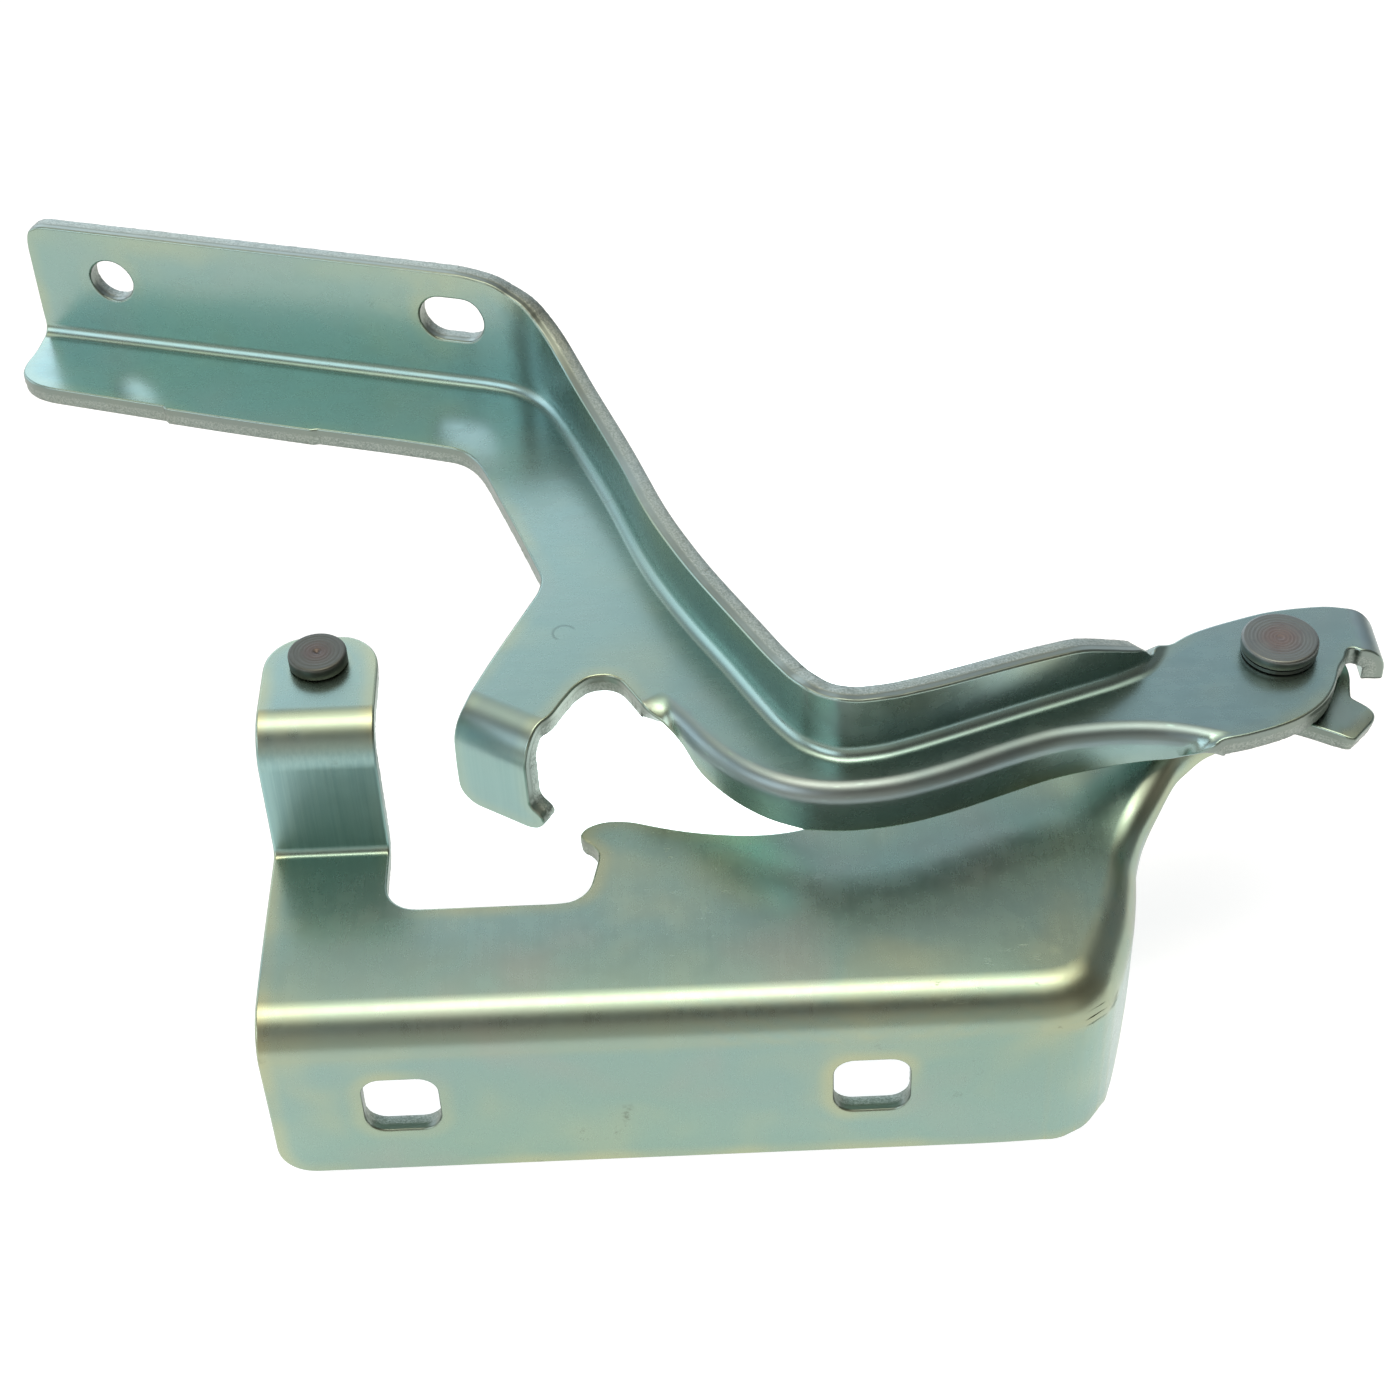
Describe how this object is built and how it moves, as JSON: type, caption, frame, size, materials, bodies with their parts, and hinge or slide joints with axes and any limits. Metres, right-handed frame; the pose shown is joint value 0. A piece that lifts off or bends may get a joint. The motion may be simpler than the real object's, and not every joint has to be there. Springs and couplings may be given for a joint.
{
  "type": "bonnet hinge",
  "caption": "Pressed steel car bonnet hinge: a gooseneck arm with a slotted bonnet flange turns on a rivet over a folded body bracket with a raised stud ear.",
  "frame": {"origin": "middle of the body flange's outer face, midway between its two slots", "axes": "+X along the body flange toward the pivot, +Y from the body flange toward the bonnet flange, +Z along the pivot's axis toward the rivet's head"},
  "size_m": [0.2664, 0.1926, 0.0811],
  "materials": {
    "bracket_zinc": "zinc plated, blue-green passivated, semi-gloss",
    "arm_zinc": "zinc plated, blue-green passivated, semi-gloss",
    "rivet_steel": "plain steel, turned head",
    "bush_steel": "zinc plated",
    "washer_steel": "plain steel",
    "stud_steel": "plain steel, turned head"
  },
  "bodies": {
    "bracket": {"body_bracket": "bracket_zinc", "pivot_rivet": "rivet_steel", "thrust_washer": "washer_steel", "ear_stud": "stud_steel"},
    "arm": {"bonnet_arm": "arm_zinc", "pivot_bush": "bush_steel"}
  },
  "joints": [
    {"name": "pivot", "type": "hinge", "parent": "bracket", "child": "arm", "pos_m": [0.1196, 0.067, 0.0329], "axis": [0, 0, -1], "range_deg": [-8, 28]}
  ]
}
